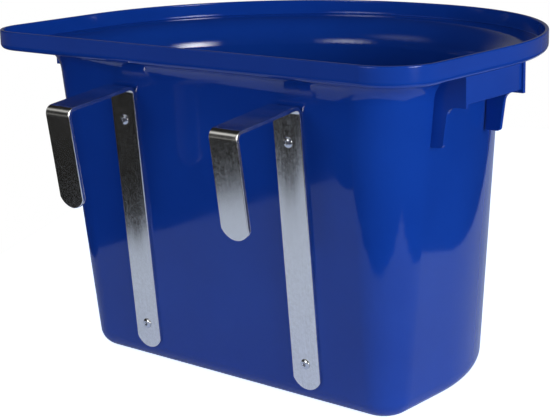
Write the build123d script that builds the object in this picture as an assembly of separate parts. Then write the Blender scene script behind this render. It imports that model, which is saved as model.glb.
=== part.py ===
from build123d import *
import math
import os

# Hanging feed trough for a horse, in millimetres.
# The tub stands on the flat underside of its floor, which is z = 0.
# x runs along the straight back wall, +y points out of the back wall to the
# rail that the trough hangs on, and the middle of the floor is x = y = 0.

# Tub plan at the floor: a straight back, rounded back corners and a bowed front
base_width = 308.5
base_depth = 223.0
base_corner_radius = 22.5
base_bow_centre = 3.0
base_front_radius = 299.0

# How far each wall leans out for every millimetre of height
side_draft = 0.095
front_draft = 0.026
back_draft = 0.083
corner_growth = 0.08

# Rim: how far it stands out beyond the walls, and its own plan radii
rim_side_overhang = 27.8
rim_back_overhang = 32.1
rim_front_overhang = 36.9
rim_corner_radius = 37.0
rim_bow_centre = 10.0
rim_front_radius = 310.0

# Tub section
tub_height = 267.0
lip_height = 15.0
wall = 3.0
foot_radius = 15.0
flare_radius = 20.0
lip_corner_radius = 4.0
lip_edge_radius = 1.0

# Moulded grip under the rim on each short side: a panel between two end webs
grip_back = 90.0
grip_length = 76.0
grip_web = 3.0
grip_panel_drop = 18.7
grip_web_drop = 2.8
grip_tail_length = 29.0
grip_tail_setback = 18.8
grip_tail_slope = 0.14
grip_step_radius = 8.0
grip_tail_radius = 2.5
grip_rib_count = 3
grip_rib_web = 2.0
grip_rib_depth = 5.0

# Flat steel hanging hooks
bar_width = 25.0
bar_thickness = 3.0
hook_spacing = 163.0
hook_foot_height = 13.0
hook_arm_gap = 22.5
hook_arm_length = 70.0
hook_arm_droop = 6.8
hook_drop_length = 79.0
hook_drop_lean = 8.2
hook_bend_radius = 3.5
hook_end_bow = 1.1

# Blind rivets through strap and wall, each with a backing washer inside
rivet_foot_gap = 20.5
rivet_arm_gap = 27.5
rivet_diameter = 4.0
rivet_hole_gap = 0.1
rivet_head_diameter = 8.0
rivet_head_height = 1.6
rivet_set_diameter = 6.2
rivet_set_length = 4.5
mandrel_diameter = 2.2
mandrel_recess = 0.5
mandrel_ball_diameter = 3.6
mandrel_ball_length = 2.4
mandrel_gap = 0.02
washer_diameter = 12.0
washer_thickness = 1.0

# Worked out from the sizes above
ledge_height = tub_height - lip_height
hook_arm_height = ledge_height - hook_arm_gap
back_lean = math.degrees(math.atan(back_draft))
wall_depth = wall * math.cos(math.atan(back_draft))
hook_sides = {"left": 1, "right": -1}
rivet_heights = {"lower": hook_foot_height + rivet_foot_gap, "upper": hook_arm_height - rivet_arm_gap}


def side_wall_x(z):
    """Outer face of a side wall at height z."""
    return base_width / 2 + side_draft * z


def front_wall_y(z):
    """Outer face of the front wall at height z, at its middle."""
    return -base_depth / 2 - front_draft * z


def back_wall_y(z):
    """Outer face of the back wall at height z."""
    return base_depth / 2 + back_draft * z


def d_face(half_width, back_y, front_y, corner_radius, bow_centre, front_radius, z):
    """Plan of the tub: straight back and sides, round corners, and a front of three tangent arcs."""
    side_radius = half_width - bow_centre
    front_centre = front_y + front_radius
    side_centre = front_centre - math.sqrt((front_radius - side_radius) ** 2 - bow_centre**2)
    turn = math.degrees(math.atan2(bow_centre, front_centre - side_centre))
    corner_x = half_width - corner_radius
    corner_y = back_y - corner_radius
    edges = [
        Line((-corner_x, back_y), (corner_x, back_y)),
        CenterArc((corner_x, corner_y), corner_radius, 0, 90),
        Line((half_width, corner_y), (half_width, side_centre)),
        CenterArc((bow_centre, side_centre), side_radius, 270 + turn, 90 - turn),
        CenterArc((0, front_centre), front_radius, 270 - turn, 2 * turn),
        CenterArc((-bow_centre, side_centre), side_radius, 180, 90 - turn),
        Line((-half_width, side_centre), (-half_width, corner_y)),
        CenterArc((-corner_x, corner_y), corner_radius, 90, 90),
    ]
    return Pos(0, 0, z) * make_face(edges)


def body_face(z, inset):
    """Plan of the tapered body at height z, set in from its outer face."""
    return d_face(
        side_wall_x(z) - inset,
        back_wall_y(z) - inset,
        front_wall_y(z) + inset,
        base_corner_radius + corner_growth * z - inset,
        base_bow_centre,
        base_front_radius + front_draft * z - inset,
        z,
    )


def rim_face(z, inset):
    """Plan of the upstanding rim, set in from its outer face."""
    return d_face(
        side_wall_x(ledge_height) + rim_side_overhang - inset,
        back_wall_y(ledge_height) + rim_back_overhang - inset,
        front_wall_y(ledge_height) - rim_front_overhang + inset,
        rim_corner_radius - inset,
        rim_bow_centre,
        rim_front_radius - inset,
        z,
    )


def flare_fillet():
    """Radius between wall and ledge, no larger than the ledge has room for."""
    room = min(rim_side_overhang, rim_back_overhang, rim_front_overhang) - 2 * wall - lip_edge_radius
    return min(flare_radius, room)


def tub_form(inset, top):
    """Closed form of the tub, whose faces lie inset from the outer ones, up to a height of top."""
    floor_z = inset
    ledge_z = ledge_height + inset
    body = loft([body_face(floor_z, inset), body_face(ledge_z, inset)], ruled=True)
    body = fillet(body.edges().group_by(Axis.Z)[0], foot_radius - inset)
    rim = extrude(rim_face(ledge_z, inset), top - ledge_z)
    rim = fillet(rim.edges().group_by(Axis.Z)[0], lip_corner_radius - inset)
    form = body + rim
    mouth = body_face(ledge_z, inset).bounding_box()
    reach = mouth.size.X / 2 + 0.1
    neck = []
    for edge in form.edges():
        span = edge.bounding_box()
        level = abs(span.min.Z - ledge_z) < 0.01 and span.size.Z < 0.01
        narrow = span.max.X < reach and span.min.X > -reach
        if level and narrow and span.max.Y < mouth.max.Y + 0.1 and span.min.Y > mouth.min.Y - 0.1:
            neck.append(edge)
    return fillet(neck, flare_fillet() + inset)


def grip_panel_x():
    """Outer face of a grip's panel, which hangs just inside the rounding of the rim."""
    return side_wall_x(ledge_height) + rim_side_overhang - lip_corner_radius


def grip_end_web(y):
    """Upright web that carries one end of a grip, with a tail that runs down the side wall."""
    step_z = ledge_height - grip_panel_drop - grip_web_drop
    tail_z = step_z - grip_tail_length
    inside_x = side_wall_x(tail_z) - wall / 2
    tail_x = grip_panel_x() - grip_tail_setback
    step_x = tail_x + grip_tail_slope * grip_tail_length
    top_z = ledge_height + wall / 2
    tail_corner = Vector(tail_x, tail_z)
    step_corner = Vector(step_x, step_z)
    outline = [
        (inside_x, tail_z),
        tail_corner,
        step_corner,
        (grip_panel_x(), step_z),
        (grip_panel_x(), top_z),
        (inside_x, top_z),
    ]
    plate = make_face(Polyline(*outline, close=True))
    plate = fillet(plate.vertices().sort_by_distance(step_corner)[0], grip_step_radius)
    plate = fillet(plate.vertices().sort_by_distance(tail_corner)[0], grip_tail_radius)
    return Pos(0, y, 0) * extrude(Rot(90, 0, 0) * plate, grip_web / 2, both=True)


def grip_band(panel_z, outer_inset, inner_inset):
    """Upright band that follows the rim's plan, from panel_z up into the ledge."""
    ring = rim_face(panel_z, outer_inset) - rim_face(panel_z, inner_inset)
    return extrude(ring, ledge_height + wall / 2 - panel_z)


def grip(side):
    """Moulded carrying grip: a panel hung under the rim between two end webs, with short ribs behind it."""
    panel_z = ledge_height - grip_panel_drop
    front_y = grip_back - grip_length
    panel_back = lip_corner_radius + grip_web
    reach = side_wall_x(tub_height) + rim_side_overhang
    span = Box(reach, grip_length, tub_height, align=(Align.MIN, Align.MIN, Align.MIN))
    solid = grip_band(panel_z, lip_corner_radius, panel_back) & Pos(0, front_y, 0) * span
    solid += grip_end_web(grip_back - grip_web / 2) + grip_end_web(front_y + grip_web / 2)
    rib_band = grip_band(panel_z, panel_back - grip_web / 2, panel_back + grip_rib_depth)
    slice_box = Box(reach, grip_rib_web, tub_height, align=(Align.MIN, Align.CENTER, Align.MIN))
    pitch = (grip_length - grip_web) / (grip_rib_count + 1)
    for i in range(grip_rib_count):
        rib_y = front_y + grip_web / 2 + pitch * (i + 1)
        solid += rib_band & Pos(0, rib_y, 0) * slice_box
    return solid if side > 0 else mirror(solid, Plane.YZ)


def wall_place(x, z):
    """Frame on the back wall at height z: its z axis points straight out of the wall."""
    return Pos(x, back_wall_y(z), z) * Rot(-90 - back_lean, 0, 0)


def rivet_cut():
    """Drill for one rivet, through strap and wall."""
    return Rot(0, 0, 90) * Cylinder(rivet_diameter / 2 + rivet_hole_gap, 2 * (wall + 2 * bar_thickness))


def tub():
    """One-piece moulded tub with its rim, its two grips and the four rivet holes."""
    shell = tub_form(0, tub_height)
    for side in (1, -1):
        shell += grip(side)
    shell -= tub_form(wall, tub_height + wall)
    shell -= [
        wall_place(side * hook_spacing / 2, z) * rivet_cut()
        for side in hook_sides.values()
        for z in rivet_heights.values()
    ]
    top_edges = shell.edges().group_by(Axis.Z)[-1]
    return fillet(top_edges, lip_edge_radius)


def hook_line():
    """Corners of the bar's convex face in the y-z plane: foot, shoulder, elbow and tip."""
    droop = math.radians(hook_arm_droop)
    lean = math.radians(hook_drop_lean)
    foot = Vector(back_wall_y(hook_foot_height), hook_foot_height)
    shoulder = Vector(back_wall_y(hook_arm_height), hook_arm_height)
    elbow = shoulder + Vector(math.cos(droop), -math.sin(droop)) * hook_arm_length
    tip = elbow + Vector(-math.sin(lean), -math.cos(lean)) * hook_drop_length
    return [foot, shoulder, elbow, tip]


def offset_line(points, distance):
    """The same bent line moved sideways towards the rail, with its corners mitred."""
    runs = [(b - a).normalized() for a, b in zip(points, points[1:])]
    normals = [Vector(run.Y, -run.X) for run in runs]
    moved = [points[0] + normals[0] * distance]
    for corner, before, after in zip(points[1:-1], normals, normals[1:]):
        moved.append(corner + (before + after) * (distance / (1 + before.dot(after))))
    moved.append(points[-1] + normals[-1] * distance)
    return moved


def tip_cut(end, before):
    """What is cut from the square end of a bar to leave a rounded tip."""
    half = bar_width / 2
    radius = half * hook_end_bow
    sag = radius - math.sqrt(radius**2 - half**2)
    origin = Vector(0, end.X, end.Y)
    inward = (before - end).normalized()
    normal = Vector(1, 0, 0).cross(Vector(0, inward.X, inward.Y))
    depth = 4 * bar_thickness
    block = Pos(0, radius / 2 - 1, 0) * Box(bar_width + 2, radius + 2, depth)
    disc = Pos(0, radius, 0) * Cylinder(radius, depth)
    keep = Pos(0, radius + sag, 0) * Box(bar_width + 2, 2 * radius, depth)
    return Plane(origin=origin, x_dir=(1, 0, 0), z_dir=normal) * (block - disc - keep)


def hook(side):
    """Hanging hook bent from one flat bar: strap on the wall, arm over the rail, drop behind it."""
    outer = hook_line()
    inner = offset_line(outer, bar_thickness)
    profile = make_face(Polyline(*(outer + inner[::-1]), close=True))
    for corner in outer[1:3]:
        vertex = profile.vertices().sort_by_distance(corner)[0]
        profile = fillet(vertex, hook_bend_radius + bar_thickness)
    for corner in inner[1:3]:
        vertex = profile.vertices().sort_by_distance(corner)[0]
        profile = fillet(vertex, hook_bend_radius)
    bar = extrude(Plane.YZ * profile, bar_width / 2, both=True)
    bar -= tip_cut(outer[0], outer[1])
    bar -= tip_cut(outer[3], outer[2])
    for z in rivet_heights.values():
        bar -= wall_place(0, z) * rivet_cut()
    return Pos(side * hook_spacing / 2, 0, 0) * bar


def turned(diameter, low, high):
    """Cylinder on the local z axis between two heights."""
    return Pos(0, 0, low) * Cylinder(diameter / 2, high - low, align=(Align.CENTER, Align.CENTER, Align.MIN))


def washer():
    inner_face = -wall_depth
    ring = turned(washer_diameter, inner_face - washer_thickness, inner_face)
    return ring - turned(rivet_diameter + 2 * rivet_hole_gap, inner_face - 2 * washer_thickness, 0)


def rivet():
    """Set blind rivet: domed head on the strap, hollow shank, and the bulged end inside the tub."""
    seat = -wall_depth - washer_thickness
    top = bar_thickness + rivet_head_height
    rim_edge = rivet_head_height / 4
    rise = rivet_head_height - rim_edge
    dome_radius = ((rivet_head_diameter / 2) ** 2 + rise**2) / (2 * rise)
    dome = Pos(0, 0, top - dome_radius) * Sphere(dome_radius)
    head = dome & turned(rivet_head_diameter, bar_thickness, top)
    bulb = turned(rivet_set_diameter, seat - rivet_set_length, seat)
    bulb = fillet(bulb.edges(), rivet_set_diameter / 6)
    body = head + turned(rivet_diameter, seat - rivet_set_length / 2, bar_thickness) + bulb
    return body - turned(mandrel_diameter + 2 * mandrel_gap, seat - 2 * rivet_set_length, top)


def mandrel():
    """Broken-off stem left in the rivet, with the ball that pulled the blind end up."""
    seat = -wall_depth - washer_thickness
    end = seat - rivet_set_length
    top = bar_thickness + rivet_head_height - mandrel_recess
    ball = turned(mandrel_ball_diameter, end - mandrel_ball_length, end)
    ball = fillet(ball.edges(), mandrel_ball_length / 4)
    return ball + turned(mandrel_diameter, end - mandrel_ball_length / 2, top)


def build():
    parts = {"tub": tub()}
    for name, side in hook_sides.items():
        parts[f"{name}_hook"] = hook(side)
        for level, z in rivet_heights.items():
            place = wall_place(side * hook_spacing / 2, z)
            parts[f"{name}_{level}_rivet"] = place * rivet()
            parts[f"{name}_{level}_rivet_mandrel"] = place * mandrel()
            parts[f"{name}_{level}_washer"] = place * washer()
    return parts


os.makedirs("parts", exist_ok=True)
for node, solid in build().items():
    export_step(solid, f"parts/{node}.step")
    print(node, round(solid.volume))
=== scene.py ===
import bmesh
import bpy
import math
from mathutils import Matrix, Vector


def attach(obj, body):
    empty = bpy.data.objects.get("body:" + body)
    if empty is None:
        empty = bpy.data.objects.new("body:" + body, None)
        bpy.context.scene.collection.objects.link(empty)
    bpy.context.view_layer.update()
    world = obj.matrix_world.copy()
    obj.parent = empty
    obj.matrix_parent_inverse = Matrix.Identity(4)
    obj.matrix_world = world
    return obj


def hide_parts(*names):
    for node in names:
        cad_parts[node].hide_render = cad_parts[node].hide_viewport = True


# Blue hanging feed tub on a pale table, seen from behind, where its two steel hooks are.
# All lengths are in metres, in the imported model's own frame, except in the rivet's outline.

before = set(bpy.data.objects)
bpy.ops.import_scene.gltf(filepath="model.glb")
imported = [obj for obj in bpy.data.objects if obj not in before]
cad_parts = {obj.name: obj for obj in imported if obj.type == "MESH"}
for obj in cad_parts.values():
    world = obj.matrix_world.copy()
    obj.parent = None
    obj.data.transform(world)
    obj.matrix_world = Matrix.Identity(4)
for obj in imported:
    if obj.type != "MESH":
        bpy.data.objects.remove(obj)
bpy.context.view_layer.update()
print("frame loaded:", len(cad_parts), "nodes")

sides = ("left", "right")
levels = ("lower", "upper")
mergeGap = 1e-6  # points closer than this count as one


def hexToLinear(hexColour):
    # sRGB hex to the linear colour that Blender's sockets take
    channels = [int(hexColour[i:i + 2], 16) / 255 for i in (1, 3, 5)]
    linear = [c / 12.92 if c <= 0.04045 else ((c + 0.055) / 1.055) ** 2.4 for c in channels]
    return (*linear, 1.0)


def addNode(tree, kind, settings=None, inputs=None, links=None):
    # settings are the node's own properties, inputs are socket values, links are sockets to
    # join; a socket goes by its name, or by its number where several have the same name
    node = tree.nodes.new(kind)
    for name, value in (settings or {}).items():
        setattr(node, name, value)
    for key, value in (inputs or {}).items():
        node.inputs[key].default_value = value
    for key, socket in (links or {}).items():
        tree.links.new(socket, node.inputs[key])
    return node


def rampStops(node, stops):
    ramp = node.color_ramp
    while len(ramp.elements) < len(stops):
        ramp.elements.new(0.5)
    for element, (place, colour) in zip(ramp.elements, stops):
        element.position = place
        element.color = (*colour[:3], 1.0)


def newMaterial(name):
    material = bpy.data.materials.new(name)
    material.use_nodes = True
    material.node_tree.nodes.clear()
    return material, material.node_tree


def dress(nodeNames, material):
    for name in nodeNames:
        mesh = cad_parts[name].data
        mesh.materials.clear()
        mesh.materials.append(material)


# The camera, at the place that the outlines of hooks, rivets, rim and walls give
cameraSet = {
    "place": (-0.7343, 0.9140, 0.4080),
    "turnDegrees": 40.40,
    "dipDegrees": 13.98,
    "rollDegrees": -1.50,
    "lensMm": 97.15,
    "sensorMm": 36.0,
    "clipStart": 0.05,
}
# level directions of the view; the table and the lamps are placed along them
viewTurn = math.radians(cameraSet["turnDegrees"])
viewAlong = Vector((math.sin(viewTurn), -math.cos(viewTurn), 0))
viewRight = Vector((-math.cos(viewTurn), -math.sin(viewTurn), 0))
upward = Vector((0, 0, 1))


def makeCamera():
    dip = math.radians(cameraSet["dipDegrees"])
    roll = math.radians(cameraSet["rollDegrees"])
    forward = viewAlong * math.cos(dip) - upward * math.sin(dip)
    right = forward.cross(upward).normalized()
    up = right.cross(forward)
    rolledRight = right * math.cos(roll) + up * math.sin(roll)
    rolledUp = up * math.cos(roll) - right * math.sin(roll)
    data = bpy.data.cameras.new("photoCamera")
    data.sensor_fit = "HORIZONTAL"
    data.sensor_width = cameraSet["sensorMm"]
    data.lens = cameraSet["lensMm"]
    data.clip_start = cameraSet["clipStart"]
    camera = bpy.data.objects.new("photoCamera", data)
    axes = Matrix((rolledRight, rolledUp, -forward)).transposed().to_4x4()
    camera.matrix_world = Matrix.Translation(cameraSet["place"]) @ axes
    bpy.context.collection.objects.link(camera)
    bpy.context.scene.camera = camera


makeCamera()
print("camera set")


# The tub
tubSet = {
    "deepHex": "#103b9b",
    "paleHex": "#1340a3",
    "patchScale": 14.0,  # patches of the two blues, about 70 mm across
    "patchSpread": (0.3, 0.7),
    "skinScale": 40.0,  # waves about 25 mm long
    "skinHeight": 0.0004,
    "skinStrength": 0.06,  # leaves far less than 0.1 mm of that height
    "edgeRound": 0.0006,
    "rubScale": 38.0,  # rubbed places, about 26 mm across
    "rubSpread": (0.35, 0.75),
    "roughLow": 0.055,
    "roughHigh": 0.11,
    "ior": 1.49,
    "specularLevel": 0.42,
}


def polypropyleneBlue():
    # Injection-moulded polypropylene: even deep blue right through, with a glossy moulded skin.
    # The gloss gives clear mirror images of the table, a little uneven where the skin has sunk
    # or been rubbed.
    material, tree = newMaterial("injectionMouldedPolypropyleneBlue")
    place = addNode(tree, "ShaderNodeTexCoord").outputs["Object"]
    patches = addNode(
        tree,
        "ShaderNodeTexNoise",
        {},
        {"Scale": tubSet["patchScale"], "Detail": 3.0, "Roughness": 0.55},
        {"Vector": place},
    )
    tint = addNode(tree, "ShaderNodeValToRGB", {}, {}, {"Fac": patches.outputs["Fac"]})
    blues = (hexToLinear(tubSet["deepHex"]), hexToLinear(tubSet["paleHex"]))
    rampStops(tint, list(zip(tubSet["patchSpread"], blues)))
    skin = addNode(
        tree,
        "ShaderNodeTexNoise",
        {},
        {"Scale": tubSet["skinScale"], "Detail": 1.0},
        {"Vector": place},
    )
    skinBump = addNode(
        tree,
        "ShaderNodeBump",
        {},
        {"Strength": tubSet["skinStrength"], "Distance": tubSet["skinHeight"]},
        {"Height": skin.outputs["Fac"]},
    )
    # rounding of the moulding's sharp outer edges
    edge = addNode(
        tree,
        "ShaderNodeBevel",
        {"samples": 4},
        {"Radius": tubSet["edgeRound"]},
        {"Normal": skinBump.outputs["Normal"]},
    )
    rub = addNode(
        tree,
        "ShaderNodeTexNoise",
        {},
        {"Scale": tubSet["rubScale"], "Detail": 6.0, "Roughness": 0.7},
        {"Vector": place},
    )
    rubLow, rubHigh = tubSet["rubSpread"]
    gloss = addNode(
        tree,
        "ShaderNodeMapRange",
        {},
        {
            "From Min": rubLow,
            "From Max": rubHigh,
            "To Min": tubSet["roughLow"],
            "To Max": tubSet["roughHigh"],
        },
        {"Value": rub.outputs["Fac"]},
    )
    shader = addNode(
        tree,
        "ShaderNodeBsdfPrincipled",
        {},
        {"IOR": tubSet["ior"], "Metallic": 0.0, "Specular IOR Level": tubSet["specularLevel"]},
        {
            "Base Color": tint.outputs["Color"],
            "Roughness": gloss.outputs["Result"],
            "Normal": edge.outputs["Normal"],
        },
    )
    addNode(tree, "ShaderNodeOutputMaterial", {}, {}, {"Surface": shader.outputs["BSDF"]})
    return material


# What all the bare metal pieces share; each piece's own tint and roughness are with that piece
metalSet = {
    "bloomScale": 420.0,  # mottles about 2 mm across, with finer grain in them
    "markScale": (1600.0, 50.0, 50.0),  # rolling marks 0.6 mm apart and about 20 mm long
    "markShare": 0.4,
    "grainSpread": (0.35, 0.65),
    "dullShare": 0.8,  # brightness of the dullest grain beside the brightest
    "grainHeight": 0.0001,
    "grainStrength": 0.08,
}


def grainyMetal(name, finish):
    # Bright zinc plating on rolled steel, or bare aluminium: a pale metal with a fine grainy
    # bloom and faint rolling marks that run along the bar, more than across it.
    material, tree = newMaterial(name)
    place = addNode(tree, "ShaderNodeTexCoord").outputs["Object"]
    bloom = addNode(
        tree,
        "ShaderNodeTexNoise",
        {},
        {"Scale": metalSet["bloomScale"], "Detail": 5.0, "Roughness": 0.6},
        {"Vector": place},
    )
    stretched = addNode(
        tree,
        "ShaderNodeMapping",
        {"vector_type": "POINT"},
        {"Scale": metalSet["markScale"]},
        {"Vector": place},
    )
    marks = addNode(
        tree,
        "ShaderNodeTexNoise",
        {},
        {"Scale": 1.0, "Detail": 3.0, "Roughness": 0.6},
        {"Vector": stretched.outputs["Vector"]},
    )
    grain = addNode(
        tree,
        "ShaderNodeMix",
        {"data_type": "FLOAT"},
        {"Factor": metalSet["markShare"]},
        {"A": bloom.outputs["Fac"], "B": marks.outputs["Fac"]},
    ).outputs["Result"]
    tint = addNode(tree, "ShaderNodeValToRGB", {}, {}, {"Fac": grain})
    bright = hexToLinear(finish["tintHex"])
    dull = [metalSet["dullShare"] * channel for channel in bright]
    rampStops(tint, list(zip(metalSet["grainSpread"], (dull, bright))))
    grainLow, grainHigh = metalSet["grainSpread"]
    rough = addNode(
        tree,
        "ShaderNodeMapRange",
        {},
        {
            "From Min": grainLow,
            "From Max": grainHigh,
            "To Min": finish["roughLow"],
            "To Max": finish["roughHigh"],
        },
        {"Value": grain},
    )
    bump = addNode(
        tree,
        "ShaderNodeBump",
        {},
        {"Strength": metalSet["grainStrength"], "Distance": metalSet["grainHeight"]},
        {"Height": grain},
    )
    shader = addNode(
        tree,
        "ShaderNodeBsdfPrincipled",
        {},
        {"Metallic": 1.0},
        {
            "Base Color": tint.outputs["Color"],
            "Roughness": rough.outputs["Result"],
            "Normal": bump.outputs["Normal"],
        },
    )
    addNode(tree, "ShaderNodeOutputMaterial", {}, {}, {"Surface": shader.outputs["BSDF"]})
    return material


# The backing washers inside the wall and the broken-off rivet stems
washerSet = {"tintHex": "#c4c8ce", "roughLow": 0.25, "roughHigh": 0.4}
stemSet = {"tintHex": "#8f9299", "roughLow": 0.3, "roughHigh": 0.45}

dress(["tub"], polypropyleneBlue())
dress(
    [side + "_" + level + "_washer" for side in sides for level in levels],
    grainyMetal("zincPlatedSteelWasher", washerSet),
)
dress(
    [side + "_" + level + "_rivet_mandrel" for side in sides for level in levels],
    grainyMetal("brokenSteelStem", stemSet),
)
print("materials set")


# The hooks, bent from flat bar
barSet = {
    "tintHex": "#fffdf7",
    "roughLow": 0.15,
    "roughHigh": 0.26,
    "edgeRound": 0.0005,
    "edgeSteps": 2,
    "flatDegrees": 0.5,
    "sharpDegrees": 40.0,
    "smoothDegrees": 18.0,
}


def roundedBar(name, node, material):
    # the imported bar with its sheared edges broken, as plating and tumbling leave them
    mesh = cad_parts[node].data.copy()
    form = bmesh.new()
    form.from_mesh(mesh)
    bmesh.ops.remove_doubles(form, verts=form.verts, dist=mergeGap)
    flat = math.radians(barSet["flatDegrees"])
    bmesh.ops.dissolve_limit(form, angle_limit=flat, verts=form.verts, edges=form.edges)
    sharp = math.radians(barSet["sharpDegrees"])
    edges = [e for e in form.edges if e.is_manifold and e.calc_face_angle(0) > sharp]
    bmesh.ops.bevel(
        form,
        geom=edges,
        offset=barSet["edgeRound"],
        segments=barSet["edgeSteps"],
        profile=0.5,
        affect="EDGES",
    )
    form.to_mesh(mesh)
    form.free()
    mesh.materials.clear()
    mesh.materials.append(material)
    mesh.shade_smooth()
    mesh.set_sharp_from_angle(angle=math.radians(barSet["smoothDegrees"]))
    piece = bpy.data.objects.new(name, mesh)
    bpy.context.collection.objects.link(piece)
    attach(piece, "root")
    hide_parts(node)


barSteel = grainyMetal("zincPlatedSteelBar", barSet)
for side in sides:
    roundedBar(side + "HookBar", side + "_hook", barSteel)
print("hooks made")


# The four set blind rivets, turned from one profile and repeated on the wall's holes.
# Names with capitals and spaces are the tree's own inputs.
wallSlope = 0.083  # how far the back wall leans out for its height
rivetSet = {
    "Head Diameter": 0.008,
    "Body Length": 0.01309,
    "Blind End": -0.00849,
    "Wall Lean": math.atan(wallSlope),
    "Turns": 40,
    "spacing": 0.163,
    "heights": (0.0335, 0.202),
    "wallFoot": 0.1115,
    "smoothDegrees": 50.0,
    "tintHex": "#e6e8ec",
    "roughLow": 0.14,
    "roughHigh": 0.26,
}
# radius and height of the body's outline, in millimetres, from the blind end round the head
# and back down the bore; the tree stretches it to the sizes above
rivetOutline = [
    (1.12, -8.49), (2.10, -8.49), (2.70, -8.30), (3.00, -7.90), (3.10, -7.40), (3.10, -5.00),
    (3.00, -4.50), (2.60, -4.10), (2.20, -3.99), (2.00, -3.99), (2.00, 0.00), (2.00, 3.00),
    (3.90, 3.00), (4.00, 3.08), (4.00, 3.20), (3.96, 3.34), (3.82, 3.52), (3.60, 3.70),
    (3.30, 3.88), (3.00, 4.03), (2.70, 4.16), (2.40, 4.27), (2.10, 4.36), (1.85, 4.42),
    (1.65, 4.44), (1.50, 4.42), (1.38, 4.34), (1.28, 4.22), (1.20, 4.06), (1.14, 3.80),
    (1.12, 3.00), (1.12, -3.00), (1.12, -8.49),
]


def curveThrough(node, values):
    # straight steps from one value to the next, evenly spaced from 0 to 1
    curve = node.mapping.curves[0]
    last = len(values) - 1
    for place, value in enumerate(values):
        if place in (0, last):
            curve.points[0 if place == 0 else -1].location = (place / last, value)
        else:
            curve.points.new(place / last, value)
    for point in curve.points:
        point.handle_type = "VECTOR"
    node.mapping.update()


def rivetTree(material):
    # a grid is rolled up into a turned body, then one body is set on every hole
    tree = bpy.data.node_groups.new("setBlindRivets", "GeometryNodeTree")
    sockets = tree.interface
    sockets.new_socket("Holes", in_out="INPUT", socket_type="NodeSocketGeometry")
    for name in ("Head Diameter", "Body Length", "Blind End", "Wall Lean"):
        sockets.new_socket(name, in_out="INPUT", socket_type="NodeSocketFloat")
    sockets.new_socket("Turns", in_out="INPUT", socket_type="NodeSocketInt")
    sockets.new_socket("Rivets", in_out="OUTPUT", socket_type="NodeSocketGeometry")
    given = addNode(tree, "NodeGroupInput").outputs

    def calc(operation, *values):
        # one sum, on numbers or on sockets
        node = addNode(tree, "ShaderNodeMath", {"operation": operation})
        for socket, value in zip(node.inputs, values):
            if isinstance(value, (int, float)):
                socket.default_value = value
            else:
                tree.links.new(value, socket)
        return node.outputs["Value"]

    grid = addNode(
        tree,
        "GeometryNodeMeshGrid",
        {},
        {"Size X": 1.0, "Size Y": 1.0, "Vertices Y": len(rivetOutline)},
        {"Vertices X": calc("ADD", given["Turns"], 1.0)},
    )
    flat = addNode(tree, "GeometryNodeInputPosition").outputs["Position"]
    parts = addNode(tree, "ShaderNodeSeparateXYZ", {}, {}, {"Vector": flat}).outputs
    angle = calc("MULTIPLY", parts["X"], 2 * math.pi)
    along = calc("ADD", parts["Y"], 0.5)
    radius = addNode(tree, "ShaderNodeFloatCurve", {}, {}, {"Value": along})
    height = addNode(tree, "ShaderNodeFloatCurve", {}, {}, {"Value": along})
    widest = max(r for r, z in rivetOutline)
    low, high = rivetOutline[0][1], max(z for r, z in rivetOutline)
    curveThrough(radius, [r / widest for r, z in rivetOutline])
    curveThrough(height, [(z - low) / (high - low) for r, z in rivetOutline])
    headRadius = calc("MULTIPLY", given["Head Diameter"], 0.5)
    reach = calc("MULTIPLY", radius.outputs["Value"], headRadius)
    climb = calc("MULTIPLY", height.outputs["Value"], given["Body Length"])
    rolled = addNode(
        tree,
        "ShaderNodeCombineXYZ",
        {},
        {},
        {
            "X": calc("MULTIPLY", reach, calc("COSINE", angle)),
            "Y": calc("MULTIPLY", reach, calc("SINE", angle)),
            "Z": calc("ADD", climb, given["Blind End"]),
        },
    )
    body = addNode(
        tree,
        "GeometryNodeSetPosition",
        {},
        {},
        {"Geometry": grid.outputs["Mesh"], "Position": rolled.outputs["Vector"]},
    )
    closed = addNode(
        tree,
        "GeometryNodeMergeByDistance",
        {},
        {"Distance": mergeGap},
        {"Geometry": body.outputs["Geometry"]},
    )
    # the body's axis is turned from straight up to straight out of the leaning wall
    outOfWall = calc("SUBTRACT", -math.pi / 2, given["Wall Lean"])
    tilt = addNode(tree, "ShaderNodeCombineXYZ", {}, {}, {"X": outOfWall})
    placed = addNode(
        tree,
        "GeometryNodeInstanceOnPoints",
        {},
        {},
        {
            "Points": given["Holes"],
            "Instance": closed.outputs["Geometry"],
            "Rotation": tilt.outputs["Vector"],
        },
    )
    real = addNode(
        tree, "GeometryNodeRealizeInstances", {}, {}, {"Geometry": placed.outputs["Instances"]}
    )
    finished = addNode(
        tree,
        "GeometryNodeSetMaterial",
        {},
        {"Material": material},
        {"Geometry": real.outputs["Geometry"]},
    )
    addNode(tree, "NodeGroupOutput", {}, {}, {"Rivets": finished.outputs["Geometry"]})
    return tree


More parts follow.
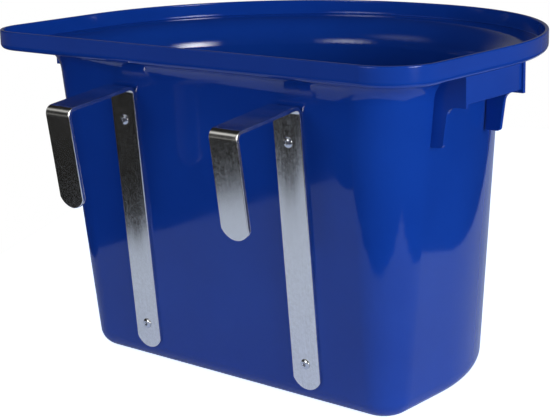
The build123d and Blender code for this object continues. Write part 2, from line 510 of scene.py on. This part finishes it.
def setRivets():
    points = [
        (side * rivetSet["spacing"] / 2, rivetSet["wallFoot"] + wallSlope * z, z)
        for side in (1, -1)
        for z in rivetSet["heights"]
    ]
    holes = bpy.data.meshes.new("rivetHoles")
    holes.from_pydata(points, [], [])
    carrier = bpy.data.objects.new("rivetHoles", holes)
    bpy.context.collection.objects.link(carrier)
    tree = rivetTree(grainyMetal("brightAluminiumRivet", rivetSet))
    modifier = carrier.modifiers.new("setBlindRivets", "NODES")
    modifier.node_group = tree
    for item in tree.interface.items_tree:
        if item.in_out == "INPUT" and item.name in rivetSet:
            modifier[item.identifier] = rivetSet[item.name]
    graph = bpy.context.evaluated_depsgraph_get()
    mesh = bpy.data.meshes.new_from_object(carrier.evaluated_get(graph))
    carrier.modifiers.remove(modifier)
    bpy.data.objects.remove(carrier)
    form = bmesh.new()
    form.from_mesh(mesh)
    bmesh.ops.recalc_face_normals(form, faces=form.faces)
    form.to_mesh(mesh)
    form.free()
    mesh.shade_smooth()
    mesh.set_sharp_from_angle(angle=math.radians(rivetSet["smoothDegrees"]))
    piece = bpy.data.objects.new("blindRivets", mesh)
    bpy.context.collection.objects.link(piece)
    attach(piece, "root")
    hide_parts(*[side + "_" + level + "_rivet" for side in sides for level in levels])
    return piece


rivets = setRivets()
print("rivets made:", len(rivets.data.polygons), "faces")


# The table, which the glossy walls mirror; its reaches are from the tub's middle
tableSet = {
    "turnDegrees": 15.5,
    "leftReach": 0.385,
    "rightReach": 0.376,
    "nearReach": 0.39,
    "farReach": 0.95,
    "colour": "#d8e3f8",
    "cameraGlow": 1.3,
    "mirrorGlow": 0.21,
}


def tableSheet():
    turned = Matrix.Rotation(math.radians(-tableSet["turnDegrees"]), 4, "Z")
    corners = [
        turned @ (viewRight * right + viewAlong * along)
        for right, along in (
            (-tableSet["leftReach"], -tableSet["nearReach"]),
            (tableSet["rightReach"], -tableSet["nearReach"]),
            (tableSet["rightReach"], tableSet["farReach"]),
            (-tableSet["leftReach"], tableSet["farReach"]),
        )
    ]
    mesh = bpy.data.meshes.new("paleTable")
    mesh.from_pydata([tuple(c) for c in corners], [], [(0, 1, 2, 3)])
    if mesh.polygons[0].normal.z < 0:
        mesh.flip_normals()
    table = bpy.data.objects.new("paleTable", mesh)
    bpy.context.collection.objects.link(table)
    # Matt painted board: it glows up to plain white for the camera, and far less in the tub's
    # mirror images, and it keeps the tub's shadow
    material, tree = newMaterial("mattWhiteBoard")
    ray = addNode(tree, "ShaderNodeLightPath")
    colour = hexToLinear(tableSet["colour"])
    matt = addNode(tree, "ShaderNodeBsdfDiffuse", {}, {"Color": colour})
    seen = addNode(
        tree,
        "ShaderNodeMath",
        {"operation": "MULTIPLY"},
        {1: tableSet["cameraGlow"]},
        {0: ray.outputs["Is Camera Ray"]},
    )
    seenOrMirrored = addNode(
        tree,
        "ShaderNodeMath",
        {"operation": "MULTIPLY_ADD"},
        {1: tableSet["mirrorGlow"]},
        {0: ray.outputs["Is Glossy Ray"], 2: seen.outputs["Value"]},
    )
    glow = addNode(
        tree,
        "ShaderNodeEmission",
        {},
        {"Color": colour},
        {"Strength": seenOrMirrored.outputs["Value"]},
    )
    both = addNode(
        tree,
        "ShaderNodeAddShader",
        {},
        {},
        {0: matt.outputs["BSDF"], 1: glow.outputs["Emission"]},
    )
    addNode(tree, "ShaderNodeOutputMaterial", {}, {}, {"Surface": both.outputs["Shader"]})
    mesh.materials.append(material)


# The room: even pale fill on matt faces, and what gloss sees, which is a dark studio with a
# paler band just below the horizon and a paler backdrop behind the tub
worldSet = {
    "fillColour": "#dfe6f4",
    "fillStrength": 0.22,
    "floorMirror": 0.012,
    "horizonMirror": 0.135,
    "skyMirror": 0.012,
    "backdropMirror": 0.16,
    # heights of the band's four edges: 0 is straight down, 0.5 the horizon, 1 straight up
    "bandEdges": (0.39, 0.425, 0.47, 0.53),
    "backdropWidth": (0.75, 0.95),  # cosines to the view where it starts and is full
    "backdropHeight": (0.5, 0.2),  # rises where it ends and where it is full
}


def studioWorld():
    world = bpy.data.worlds.new("studioWorld")
    bpy.context.scene.world = world
    world.use_nodes = True
    tree = world.node_tree
    tree.nodes.clear()
    ray = addNode(tree, "ShaderNodeLightPath")
    fill = addNode(
        tree,
        "ShaderNodeBackground",
        {},
        {"Color": hexToLinear(worldSet["fillColour"]), "Strength": worldSet["fillStrength"]},
    )
    direction = addNode(tree, "ShaderNodeTexCoord").outputs["Generated"]
    rise = addNode(tree, "ShaderNodeSeparateXYZ", {}, {}, {"Vector": direction}).outputs["Z"]
    upFromBelow = addNode(
        tree,
        "ShaderNodeMapRange",
        {},
        {"From Min": -1.0, "From Max": 1.0},
        {"Value": rise},
    )
    band = addNode(
        tree, "ShaderNodeValToRGB", {}, {}, {"Fac": upFromBelow.outputs["Result"]}
    )
    floor, horizon, sky = (worldSet[k] for k in ("floorMirror", "horizonMirror", "skyMirror"))
    greys = [(grey, grey, grey) for grey in (floor, horizon, horizon, sky)]
    rampStops(band, list(zip(worldSet["bandEdges"], greys)))
    facing = addNode(
        tree,
        "ShaderNodeVectorMath",
        {"operation": "DOT_PRODUCT"},
        {1: viewAlong},
        {0: direction},
    )
    widthFrom, widthTo = worldSet["backdropWidth"]
    width = addNode(
        tree,
        "ShaderNodeMapRange",
        {},
        {"From Min": widthFrom, "From Max": widthTo},
        {"Value": facing.outputs["Value"]},
    )
    heightFrom, heightTo = worldSet["backdropHeight"]
    height = addNode(
        tree,
        "ShaderNodeMapRange",
        {},
        {"From Min": heightFrom, "From Max": heightTo, "To Max": worldSet["backdropMirror"]},
        {"Value": rise},
    )
    backdrop = addNode(
        tree,
        "ShaderNodeMath",
        {"operation": "MULTIPLY"},
        {},
        {0: width.outputs["Result"], 1: height.outputs["Result"]},
    ).outputs["Value"]
    card = addNode(
        tree,
        "ShaderNodeCombineColor",
        {},
        {},
        {"Red": backdrop, "Green": backdrop, "Blue": backdrop},
    )
    # sockets 6 and 7 are the two colours of a Mix node, and output 2 is their mix
    paler = addNode(
        tree,
        "ShaderNodeMix",
        {"data_type": "RGBA", "blend_type": "LIGHTEN"},
        {"Factor": 1.0},
        {6: band.outputs["Color"], 7: card.outputs["Color"]},
    )
    mirror = addNode(
        tree, "ShaderNodeBackground", {}, {"Strength": 1.0}, {"Color": paler.outputs[2]}
    )
    white = addNode(
        tree, "ShaderNodeBackground", {}, {"Color": (1, 1, 1, 1), "Strength": 1.0}
    )
    lit = addNode(
        tree,
        "ShaderNodeMixShader",
        {},
        {},
        {
            "Fac": ray.outputs["Is Glossy Ray"],
            1: fill.outputs["Background"],
            2: mirror.outputs["Background"],
        },
    )
    seen = addNode(
        tree,
        "ShaderNodeMixShader",
        {},
        {},
        {
            "Fac": ray.outputs["Is Camera Ray"],
            1: lit.outputs["Shader"],
            2: white.outputs["Background"],
        },
    )
    addNode(tree, "ShaderNodeOutputWorld", {}, {}, {"Surface": seen.outputs["Shader"]})


# The lamps: how far to the right of the view, back towards the camera and up each one stands
lampSet = {
    "right": {"right": 1.06, "back": 1.33, "up": 0.50, "size": (1.0, 1.05), "watts": 28.0},
    "left": {"right": -1.26, "back": 1.14, "up": 0.52, "size": (1.25, 1.05), "watts": 8.2},
    "side": {"right": -1.5, "back": 0.1, "up": 1.15, "size": (1.4, 0.9), "watts": 1.1},
}
lampAim = Vector((0, 0.02, 0.15))
lampPeak = 1.7  # each way across the cloth the light rises to this from 0 at the edges


def softLamp(name, lamp):
    data = bpy.data.lights.new(name, "AREA")
    data.shape = "RECTANGLE"
    data.size, data.size_y = lamp["size"]
    data.energy = lamp["watts"]
    # the cloth front is brightest in the middle and fades to its edges
    data.use_nodes = True
    tree = data.node_tree
    tree.nodes.clear()
    spot = addNode(tree, "ShaderNodeNewGeometry").outputs["Parametric"]
    parts = addNode(tree, "ShaderNodeSeparateXYZ", {}, {}, {"Vector": spot}).outputs
    fades = []
    for axis in ("X", "Y"):
        fromEdge = addNode(
            tree, "ShaderNodeMath", {"operation": "PINGPONG"}, {1: 0.5}, {0: parts[axis]}
        )
        fade = addNode(
            tree,
            "ShaderNodeMapRange",
            {"interpolation_type": "SMOOTHSTEP"},
            {"From Max": 0.5, "To Max": lampPeak},
            {"Value": fromEdge.outputs["Value"]},
        )
        fades.append(fade.outputs["Result"])
    strength = addNode(
        tree, "ShaderNodeMath", {"operation": "MULTIPLY"}, {}, {0: fades[0], 1: fades[1]}
    )
    emission = addNode(
        tree, "ShaderNodeEmission", {}, {}, {"Strength": strength.outputs["Value"]}
    )
    addNode(tree, "ShaderNodeOutputLight", {}, {}, {"Surface": emission.outputs["Emission"]})
    place = viewRight * lamp["right"] - viewAlong * lamp["back"] + upward * lamp["up"]
    aimed = (lampAim - place).to_track_quat("-Z", "Y").to_matrix().to_4x4()
    light = bpy.data.objects.new(name, data)
    light.matrix_world = Matrix.Translation(place) @ aimed
    bpy.context.collection.objects.link(light)


tableSheet()
studioWorld()
for lampName, lamp in lampSet.items():
    softLamp(lampName + "Softbox", lamp)
bpy.context.scene.view_settings.view_transform = "Standard"
print("table, world and lamps set")
